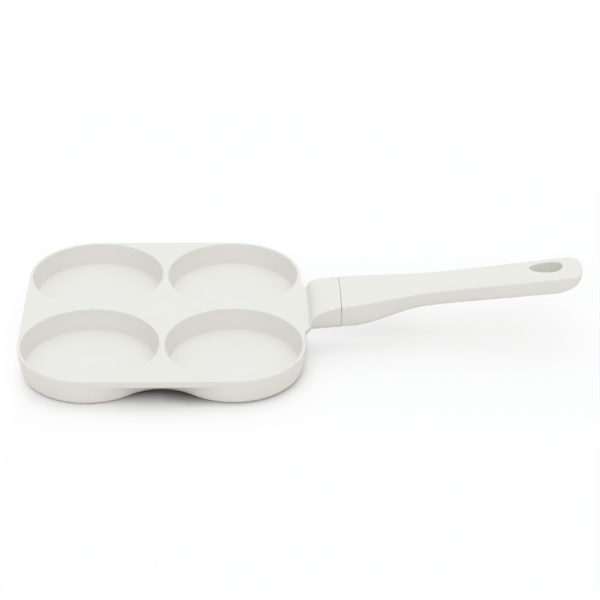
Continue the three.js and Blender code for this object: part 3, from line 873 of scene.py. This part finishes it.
def base_disc(middle):
    """A perforated steel disc, its lower edges rounded."""
    bm = bmesh.new()
    holes = [Vector((middle[0] + x, middle[1] + y)) for x, y in hole_places()]
    bmesh.ops.create_circle(
        bm, segments=DISC_STEPS, radius=DISC_RADIUS - DISC_ROUND,
        matrix=Matrix.Translation((*middle, 0)),
    )
    for hole in holes:
        bmesh.ops.create_circle(
            bm, segments=HOLE_STEPS, radius=HOLE_RADIUS + DISC_ROUND,
            matrix=Matrix.Translation((hole.x, hole.y, 0)),
        )
    rims = bm.edges[:]
    bmesh.ops.triangle_fill(bm, edges=rims, use_beauty=True, normal=(0, 0, -1))

    def place(vert, growth, z):
        flat = vert.co.xy
        nearest = min(holes, key=lambda hole: (hole - flat).length)
        if (nearest - flat).length < HOLE_RADIUS + 2 * DISC_ROUND:
            spot = nearest + (flat - nearest).normalized() * (HOLE_RADIUS + growth)
        else:
            centre = Vector(middle)
            spot = centre + (flat - centre).normalized() * (DISC_RADIUS - growth)
        return Vector((spot.x, spot.y, z))

    edges = [edge for edge in rims if edge.is_valid]
    for growth, depth in edge_round(DISC_ROUND, ROUND_STEPS)[1:]:
        edges, _ = pull(bm, edges, lambda vert: place(vert, growth, depth))
    edges, _ = pull(bm, edges, lambda vert: place(vert, 0, DISC_TOP))
    bmesh.ops.triangle_fill(bm, edges=edges, use_beauty=True, normal=(0, 0, 1))
    return bm


def studs(middle):
    """Aluminium of the casting that fills the disc's holes, flush with its face."""
    bm = bmesh.new()
    radius = HOLE_RADIUS - STUD_GAP
    root = DISC_TOP + STUD_ROOT
    profile = [(0, STUD_SUNK)]
    profile += arc(
        radius - DISC_ROUND, STUD_SUNK + DISC_ROUND, DISC_ROUND, -90, 0, STUD_ROUND_STEPS
    )
    profile += [(radius, root), (0, root)]
    for x, y in hole_places():
        turn_profile(bm, profile, (middle[0] + x, middle[1] + y), STUD_STEPS)
    return bm


HEAD_RADIUS = 4.7 * MM
HEAD_DOME = 1.7 * MM
HEAD_EDGE = 0.15 * MM
HEAD_STEPS = 6
RECESS_LENGTH = 2.5 * MM
RECESS_HALF = 0.62 * MM
RECESS_DEPTH = 1.6 * MM
RECESS_EDGE = 0.1 * MM
RECESS_MOUTH = 1.08
RECESS_TAPER = 0.72
THREAD_PITCH = 0.8 * MM
THREAD_ROOT = 2.05 * MM
THREAD_SUNK = 0.1 * MM
THREAD_ROOT_HALF = 0.35 * THREAD_PITCH
THREAD_CREST_HALF = 0.06 * THREAD_PITCH
THREAD_STEPS = 24
TIP_CHAMFER = 0.5 * MM
SCREW_STEPS = 48
FLAT_CORNER = 0.15 * MM
SPRING_CORNER = 0.2 * MM
SPRING_SLIT = math.radians(14)


def cross_outline(co):
    """Edge of the cross recess in the direction of co."""
    angle = math.atan2(co.y, co.x - SCREW_X)
    off_arm = (angle + math.pi / 4) % (math.pi / 2) - math.pi / 4
    reach = RECESS_LENGTH / math.cos(off_arm)
    if abs(math.tan(off_arm)) > RECESS_HALF / RECESS_LENGTH:
        reach = RECESS_HALF / abs(math.sin(off_arm))
    return reach * math.cos(angle), reach * math.sin(angle)


def screw_thread(low, high):
    """Ridge that winds up the screw's shank, sunk a little into it."""
    bm = bmesh.new()
    turns = int((high - low) / THREAD_PITCH)
    root, crest = SCREW_X + THREAD_ROOT - THREAD_SUNK, SCREW_X + SCREW_RADIUS
    ridge = closed_chain(bm, [
        (root, 0, low - THREAD_ROOT_HALF),
        (crest, 0, low - THREAD_CREST_HALF),
        (crest, 0, low + THREAD_CREST_HALF),
        (root, 0, low + THREAD_ROOT_HALF),
    ])
    spin(
        bm, ridge, (SCREW_X, 0), angle=math.tau * turns, steps=THREAD_STEPS * turns,
        dvec=(0, 0, THREAD_PITCH / THREAD_STEPS),
    )
    bmesh.ops.holes_fill(bm, edges=open_edges(bm), sides=len(ridge))
    return bm


def handle_screw():
    """Pan head screw, head down in the counterbore."""
    bm = bmesh.new()
    head_low, seat, tip = screw_low.z, spring_low.z, screw_high.z
    flat = HEAD_RADIUS - HEAD_DOME
    profile = arc(flat, head_low + HEAD_DOME, HEAD_DOME, -90, 0, HEAD_STEPS)
    profile += [(HEAD_RADIUS, seat - HEAD_EDGE), (HEAD_RADIUS - HEAD_EDGE, seat), (THREAD_ROOT, seat)]
    profile += [(THREAD_ROOT, tip - TIP_CHAMFER), (THREAD_ROOT - TIP_CHAMFER, tip), (0, tip)]
    turn_profile(bm, profile, (SCREW_X, 0), SCREW_STEPS)
    edges = open_edges(bm)
    for share, z in (
        (RECESS_MOUTH, head_low),
        (1, head_low + RECESS_EDGE),
        (RECESS_TAPER, head_low + RECESS_DEPTH),
    ):

        def place(vert):
            x, y = cross_outline(vert.co)
            return Vector((SCREW_X + x * share, y * share, z))

        edges, _ = pull(bm, edges, place)
    bmesh.ops.edgeloop_fill(bm, edges=edges)
    join(bm, screw_thread(seat + THREAD_PITCH, tip - THREAD_PITCH))
    return bm


def washer_profile(low, high, corner):
    """Round cornered section of a washer that fills the box from low to high."""
    inner = SCREW_HOLE_RADIUS + corner
    outer = (high.y - low.y) / 2 - corner
    bottom, top = low.z + corner, high.z - corner
    points = []
    for x, z, start in ((outer, bottom, -90), (outer, top, 0), (inner, top, 90), (inner, bottom, 180)):
        points += arc(x, z, corner, start, start + 90, ROUND_STEPS)
    return points


def flat_washer():
    bm = bmesh.new()
    profile = washer_profile(flat_low, flat_high, FLAT_CORNER)
    turn_profile(bm, profile + profile[:1], (SCREW_X, 0), SCREW_STEPS)
    return bm


def spring_washer():
    """Split ring, pressed flat."""
    bm = bmesh.new()
    profile = washer_profile(spring_low, spring_high, SPRING_CORNER)
    edges = closed_chain(bm, [(SCREW_X + radius, 0, z) for radius, z in profile])
    bmesh.ops.rotate(
        bm, verts=bm.verts[:], cent=(SCREW_X, 0, 0),
        matrix=Matrix.Rotation(SPRING_SLIT / 2, 3, "Z"),
    )
    spin(bm, edges, (SCREW_X, 0), angle=math.tau - SPRING_SLIT, steps=SCREW_STEPS)
    bmesh.ops.holes_fill(bm, edges=open_edges(bm), sides=len(profile))
    return bm


# Materials


PATTERN_LOW = 0.3  # nearly all of a noise lies between these two
PATTERN_HIGH = 0.7
MIX_COLOURS = (6, 7)  # a mix node's sockets for colours
MIX_RESULT = 2


class Shades:
    """Nodes of a material or of the world, in short calls."""

    def __init__(self, owner):
        owner.use_nodes = True
        self.nodes = owner.node_tree.nodes
        self.links = owner.node_tree.links

    def add(self, kind, inputs=None, **settings):
        """Makes a node, sets it and feeds its inputs."""
        node = self.nodes.new("ShaderNode" + kind)
        for key, value in settings.items():
            setattr(node, key, value)
        for key, source in (inputs or {}).items():
            self.feed(node.inputs[key], source)
        return node

    def feed(self, socket, source):
        """Links an output to a socket, or sets the socket to a constant."""
        if isinstance(source, bpy.types.NodeSocket):
            self.links.new(source, socket)
        else:
            socket.default_value = source

    def math(self, operation, first, second):
        return self.add("Math", {0: first, 1: second}, operation=operation).outputs[0]

    def vector(self, operation, first, second=(0, 0, 0)):
        node = self.add("VectorMath", {0: first, 1: second}, operation=operation)
        return node.outputs["Vector"]

    def length(self, vector):
        return self.add("VectorMath", {0: vector}, operation="LENGTH").outputs["Value"]

    def axes(self, vector):
        """X, Y and Z of a vector."""
        return self.add("SeparateXYZ", {0: vector}).outputs

    def about(self, place, vector):
        """Coordinates measured from a place."""
        back = [-distance for distance in place]
        return self.add("Mapping", {"Location": back, "Vector": vector}).outputs["Vector"]

    def span(self, value, start, end, low=0.0, high=1.0, shape="LINEAR"):
        """Turns numbers from start to end into numbers from low to high."""
        inputs = {"Value": value, "From Min": start, "From Max": end, "To Min": low, "To Max": high}
        return self.add("MapRange", inputs, interpolation_type=shape).outputs["Result"]

    def ramp(self, factor, stops):
        node = self.add("ValToRGB", {"Fac": factor})
        elements = node.color_ramp.elements
        while len(elements) < len(stops):
            elements.new(0.5)
        for element, (place, colour) in zip(elements, stops):
            element.position = place
            element.color = (*colour, 1)
        return node.outputs["Color"]

    def mix(self, factor, first, second):
        """Blends two colours."""
        inputs = {"Factor": factor, MIX_COLOURS[0]: first, MIX_COLOURS[1]: second}
        return self.add("Mix", inputs, data_type="RGBA").outputs[MIX_RESULT]

    def seen_directly(self):
        """1 for camera, glossy and transmission rays, which see the white studio."""
        rays = self.add("LightPath").outputs
        either = self.math("MAXIMUM", rays["Is Camera Ray"], rays["Is Glossy Ray"])
        return self.math("MAXIMUM", either, rays["Is Transmission Ray"])


class Finish(Shades):
    """A material with a principled shader, its patterns on Object coordinates."""

    def __init__(self, name):
        self.material = bpy.data.materials.new(name)
        super().__init__(self.material)
        self.shader = self.nodes["Principled BSDF"]
        self.coords = self.add("TexCoord").outputs["Object"]

    def noise(self, scale, detail=3):
        inputs = {"Scale": scale, "Detail": detail, "Vector": self.coords}
        return self.add("TexNoise", inputs).outputs["Fac"]

    def mottle(self, dark, light, scale):
        """A colour that drifts between two tones."""
        return self.ramp(self.noise(scale), [(PATTERN_LOW, dark), (PATTERN_HIGH, light)])

    def uneven(self, pattern, low, high):
        """A number that follows a pattern."""
        return self.span(pattern, PATTERN_LOW, PATTERN_HIGH, low, high)

    def bump(self, pattern, height, strength=0.5, below=None):
        inputs = {"Strength": strength, "Distance": height, "Height": pattern}
        if below is not None:
            inputs["Normal"] = below
        return self.add("Bump", inputs).outputs["Normal"]

    def look(self, **looks):
        """Links or sets the shader's sockets, their names written with underscores.
        Returns the material."""
        for name, source in looks.items():
            self.feed(self.shader.inputs[name.replace("_", " ")], source)
        return self.material


CREAM_LIGHT = (0.828, 0.832, 0.790)
CREAM_DARK = (0.810, 0.812, 0.768)
CUP_FLOOR_PAINTED_LIGHT = (1.03, 1.02, 1.045)  # painted light: the coat's colour is a touch lighter and cooler on the cups' floors
CUP_WALL_PAINTED_SHADE = (1.04, 0.993, 1.032)  # painted shade: the coat's colour is warmer on the cups' walls
CUP_FLOOR_TO = 43.1 * MM
CUP_WALL_FROM = 44 * MM
CUP_WALL_TO = 45 * MM
CUP_INSIDE_Z = 2.7 * MM  # the insides of the cups lie above this height, their feet below it
GRIP_LIGHT = (0.832, 0.836, 0.795)
GRIP_DARK = (0.815, 0.818, 0.775)
STEEL_LIGHT = (0.60, 0.59, 0.575)
STEEL_DARK = (0.50, 0.49, 0.475)
ALUMINIUM_LIGHT = (0.76, 0.76, 0.755)
ALUMINIUM_DARK = (0.66, 0.66, 0.655)
ZINC_LIGHT = (0.64, 0.63, 0.61)
ZINC_DARK = (0.52, 0.52, 0.51)


def round_nearest_cup(finish):
    """Coordinates about the nearest cup's middle, the same for all four cups."""
    folded = finish.vector("ABSOLUTE", finish.about((PAN_X, 0, 0), finish.coords))
    return finish.about((CUP_OFFSET, CUP_OFFSET, 0), folded)


def cream_coat():
    """Sprayed ceramic coat: satin, faintly mottled, with a fine orange peel. In the cups its colour
    carries painted light on the floors and painted shade on the walls.
    """
    finish = Finish("cream ceramic coat")
    round_cup = round_nearest_cup(finish)
    radius = finish.length(finish.vector("MULTIPLY", round_cup, (1, 1, 0)))
    outside = finish.math("LESS_THAN", finish.axes(round_cup)[2], CUP_INSIDE_Z)
    share = finish.math("MAXIMUM", finish.span(radius, 0, RIM_RADIUS), outside)
    # Painted light and shade in the cups: floors lighter and cooler, walls warmer; the feet keep the
    # plain coat.
    painted_cup_light = finish.ramp(share, [
        (CUP_FLOOR_TO / RIM_RADIUS, CUP_FLOOR_PAINTED_LIGHT),
        (CUP_WALL_FROM / RIM_RADIUS, CUP_WALL_PAINTED_SHADE),
        (CUP_WALL_TO / RIM_RADIUS, CUP_WALL_PAINTED_SHADE),
        (1, (1, 1, 1)),
    ])
    cream = finish.mottle(CREAM_DARK, CREAM_LIGHT, scale=28)
    peel = finish.bump(finish.noise(scale=420, detail=2), height=0.03 * MM)
    grain = finish.noise(scale=2200, detail=1)
    return finish.look(
        Base_Color=finish.vector("MULTIPLY", cream, painted_cup_light),
        Roughness=finish.uneven(finish.noise(scale=160), low=0.40, high=0.50),
        Normal=finish.bump(grain, height=0.006 * MM, strength=0.4, below=peel),
        Specular_IOR_Level=0.4,
    )


def grip_plastic():
    """Moulded handle with a matte soft-touch skin."""
    finish = Finish("cream soft-touch grip")
    return finish.look(
        Base_Color=finish.mottle(GRIP_DARK, GRIP_LIGHT, scale=22),
        Roughness=finish.uneven(finish.noise(scale=120), low=0.52, high=0.62),
        Normal=finish.bump(finish.noise(scale=2600, detail=2), height=0.01 * MM),
        Specular_IOR_Level=0.35,
    )


def disc_steel():
    """Stainless disc, turned: fine rings about each cup's middle."""
    finish = Finish("turned disc steel")
    inputs = {"Scale": 520, "Distortion": 0.6, "Detail": 3, "Detail Scale": 2}
    inputs["Vector"] = round_nearest_cup(finish)
    rings = finish.add("TexWave", inputs, wave_type="RINGS", rings_direction="Z").outputs["Fac"]
    return finish.look(
        Base_Color=finish.mottle(STEEL_DARK, STEEL_LIGHT, scale=60),
        Roughness=finish.uneven(rings, low=0.24, high=0.38),
        Normal=finish.bump(rings, height=0.006 * MM),
        Metallic=1.0,
    )


def stud_aluminium():
    """Bare pressed aluminium in the disc's holes."""
    finish = Finish("bare stud aluminium")
    return finish.look(
        Base_Color=finish.mottle(ALUMINIUM_DARK, ALUMINIUM_LIGHT, scale=300),
        Roughness=finish.uneven(finish.noise(scale=500), low=0.40, high=0.55),
        Normal=finish.bump(finish.noise(scale=900), height=0.01 * MM),
        Metallic=1.0,
    )


def screw_steel():
    """Zinc plated steel of the screw and its washers."""
    finish = Finish("zinc plated screw steel")
    return finish.look(
        Base_Color=finish.mottle(ZINC_DARK, ZINC_LIGHT, scale=400),
        Roughness=finish.uneven(finish.noise(scale=700), low=0.28, high=0.42),
        Normal=finish.bump(finish.noise(scale=1500, detail=2), height=0.008 * MM),
        Metallic=1.0,
    )


# Stage


AMBIENT = 0.977
SIDE_DIM = 0.52  # how much darker the studio is to the left and right
HORIZON_TINT = (1.04, 0.985, 0.99)
ZENITH_TINT = (0.995, 1.015, 0.996)
ZENITH_FROM = 0.7  # as the height of a direction of length 1
KEY_SIZE = 1.4
KEY_POWER = 3.2
KEY_PLACE = (0.02, 0.05, 1.3)
FLOOR_HALF = 4.0
# What the camera sees of the floor: a painted contact shadow, dark under the pan, by distance outward
# from the cups' middles
FLOOR_PAINTED_SHADOW = (0.17, 0.162, 0.157)
FLOOR_WHITE = (0.985, 0.985, 1.0)
PAINTED_SHADOW_FROM = 0.0275
PAINTED_SHADOW_TO = 0.0465
PAINTED_SHADOW_DRIFT = 0.005  # how much further out the painted contact shadow reaches on the right
DRIFT_SPAN = 0.018
WHITE_FROM = 0.24  # beyond the pan and its handle the floor turns white
WHITE_TO = 0.4
# The floor's colour for the light that it sends back up, by the same distance: painted shade, black
# under the pan and lighter further out
BOUNCE_PAINTED_SHADE = (0, 0, 0)
BOUNCE_NEAR = (0.93, 0.88, 0.885)
BOUNCE_FAR = (0.98, 0.94, 0.945)
BOUNCE_FROM = 0.031
BOUNCE_TO = 0.04
FAR_FROM_PAN = 0.3
HANDLE_PAINTED_SHADE = 0.72  # painted shade: how much less of it comes from under the handle
# Glow that thins the floor's shadow, by distance from the pan's middle
GLOW_SPAN = 0.2
LEFT_GLOW = ((-0.1, 0.85), (-0.085, 0.0))
HANDLE_GLOW = ((0.09, 0.0), (0.1, 0.84), (0.118, 0.79), (0.135, 0.73), (0.152, 0.61), (0.17, 0.55))
HANDLE_GLOW_ACROSS = ((0.012, 1.0), (0.028, 0.5), (0.045, 0.0))
FRONT_GLOW = ((0.09, 0.0), (0.097, 0.06), (0.13, 0.6))


def studio_world():
    """White for the camera and for gloss. As light it is warmer low down and dimmer at the sides."""
    world = bpy.data.worlds.new("white studio")
    bpy.context.scene.world = world
    shades = Shades(world)
    background = shades.nodes["Background"]
    direct = shades.seen_directly()
    across, _, up = shades.axes(shades.add("TexCoord").outputs["Generated"])
    sideways = shades.math("MULTIPLY", across, across)
    ambient = shades.span(sideways, 0, 1, AMBIENT, AMBIENT * (1 - SIDE_DIM))
    shades.feed(background.inputs["Strength"], shades.math("MAXIMUM", ambient, direct))
    sky = shades.ramp(up, [(0, HORIZON_TINT), (ZENITH_FROM, ZENITH_TINT)])
    shades.feed(background.inputs["Color"], shades.mix(direct, sky, (1, 1, 1, 1)))


def glow_along(finish, place, stops):
    """Level of the glow along one direction."""
    levels = [((at / GLOW_SPAN + 1) / 2, (level,) * 3) for at, level in stops]
    return finish.ramp(finish.span(place, -GLOW_SPAN, GLOW_SPAN), levels)


def pale_floor():
    finish = Finish("pale floor")
    direct = finish.seen_directly()
    from_pan = finish.about((PAN_X, 0, 0), finish.coords)
    folded = finish.vector("ABSOLUTE", from_pan)
    right = finish.axes(from_pan)[0]
    aside = finish.axes(folded)[1]
    past_cups = finish.vector("SUBTRACT", folded, (CUP_OFFSET, CUP_OFFSET, 0))
    reach = finish.length(finish.vector("MAXIMUM", past_cups))
    # Painted contact shadow: the floor's colour for the camera is dark under the pan and white further
    # out.
    drift = finish.span(right, 0, DRIFT_SPAN, 0, PAINTED_SHADOW_DRIFT)
    clear_of_painted_shadow = finish.span(
        finish.math("SUBTRACT", reach, drift), PAINTED_SHADOW_FROM, PAINTED_SHADOW_TO, shape="SMOOTHSTEP"
    )
    seen_with_painted_shadow = finish.ramp(clear_of_painted_shadow, [(0, FLOOR_PAINTED_SHADOW), (1, FLOOR_WHITE)])
    # Painted shade in the light that the floor sends back up: none from under the pan, less from under
    # the handle.
    painted_bounce = finish.ramp(finish.span(reach, 0, FAR_FROM_PAN), [
        (BOUNCE_FROM / FAR_FROM_PAN, BOUNCE_PAINTED_SHADE),
        (BOUNCE_TO / FAR_FROM_PAN, BOUNCE_NEAR),
        (1, BOUNCE_FAR),
    ])
    by_handle = finish.math(
        "MULTIPLY",
        glow_along(finish, right, HANDLE_GLOW),
        glow_along(finish, aside, HANDLE_GLOW_ACROSS),
    )
    painted_bounce_under_handle = finish.vector("MULTIPLY", painted_bounce, finish.span(by_handle, 0, 1, 1, 1 - HANDLE_PAINTED_SHADE))
    finish.look(
        Base_Color=finish.mix(direct, painted_bounce_under_handle, seen_with_painted_shadow), Roughness=1.0, Specular_IOR_Level=0.0
    )
    by_pan = finish.math(
        "MAXIMUM", glow_along(finish, right, LEFT_GLOW), glow_along(finish, aside, FRONT_GLOW)
    )
    beyond = finish.span(reach, WHITE_FROM, WHITE_TO, shape="SMOOTHSTEP")
    glow = finish.math("MAXIMUM", finish.math("MAXIMUM", by_handle, by_pan), beyond)
    blend = finish.add("MixShader", {
        "Fac": finish.math("MULTIPLY", glow, direct),
        1: finish.shader.outputs["BSDF"],
        2: finish.add("Emission").outputs["Emission"],
    })
    finish.feed(finish.nodes["Material Output"].inputs["Surface"], blend.outputs["Shader"])
    return finish.material


def studio_floor():
    bm = bmesh.new()
    bmesh.ops.create_grid(bm, x_segments=1, y_segments=1, size=FLOOR_HALF)
    floor = put_in_scene("floor", finished_mesh("floor", bm))
    floor.data.materials.append(pale_floor())


def key_light():
    light = bpy.data.lights.new("soft key", "AREA")
    light.shape = "DISK"
    light.size = KEY_SIZE
    light.energy = KEY_POWER
    lamp = put_in_scene("soft key", light)
    lamp.location = KEY_PLACE
    lamp.rotation_mode = "QUATERNION"
    lamp.rotation_quaternion = Vector(KEY_PLACE).to_track_quat("Z", "Y")


CAMERA_ELEVATION = 0.517796
CAMERA_AZIMUTH = -0.049883
CAMERA_ROLL = 0.020796
CAMERA_DISTANCE = 1.231789
CAMERA_TARGET = (94.411 * MM + PAN_X, 9.656 * MM, RIM_Z)
CAMERA_LENS = 105.994
CAMERA_SENSOR = 36


def photo_camera():
    data = bpy.data.cameras.new("photo camera")
    data.sensor_width = CAMERA_SENSOR
    data.lens = CAMERA_LENS
    camera = put_in_scene("photo camera", data)
    flat = math.cos(CAMERA_ELEVATION)
    back = Vector((
        math.sin(CAMERA_AZIMUTH) * flat, -math.cos(CAMERA_AZIMUTH) * flat, math.sin(CAMERA_ELEVATION)
    ))
    camera.location = Vector(CAMERA_TARGET) + back * CAMERA_DISTANCE
    camera.rotation_mode = "QUATERNION"
    camera.rotation_quaternion = Quaternion(back, CAMERA_ROLL) @ back.to_track_quat("Z", "Y")
    bpy.context.scene.camera = camera


# The pan

photo_camera()

CUPS = {
    "front_left": (-CUP_OFFSET, -CUP_OFFSET),
    "front_right": (CUP_OFFSET, -CUP_OFFSET),
    "back_left": (-CUP_OFFSET, CUP_OFFSET),
    "back_right": (CUP_OFFSET, CUP_OFFSET),
}
casting = pan_casting()
for middle in CUPS.values():
    filling = studs(middle)
    for face in filling.faces:
        face.material_index = 1
    join(casting, filling)
finishes = [cream_coat(), stud_aluminium()]
weigh_normals(make_piece("pan_casting", casting, finishes, ["pan_body"], sharp=50))

grip = make_piece("grip", handle_grip(), [grip_plastic()], ["handle_grip"])
rounding = grip.modifiers.new("rounding", "SUBSURF")
rounding.levels = GRIP_SUBDIVISIONS
rounding.render_levels = GRIP_SUBDIVISIONS

steel = disc_steel()
for place, middle in CUPS.items():
    disc = make_piece(
        "steel_disc_" + place, base_disc(middle), [steel],
        ["base_disc_" + place], sharp=40,
    )
    weigh_normals(disc)

zinc = screw_steel()
make_piece("fixing_screw", handle_screw(), [zinc], ["handle_screw"], sharp=40)
make_piece("plain_washer", flat_washer(), [zinc], ["flat_washer"], sharp=50)
make_piece("split_washer", spring_washer(), [zinc], ["spring_washer"], sharp=50)

studio_world()
studio_floor()
key_light()
bpy.context.scene.view_settings.view_transform = "Standard"
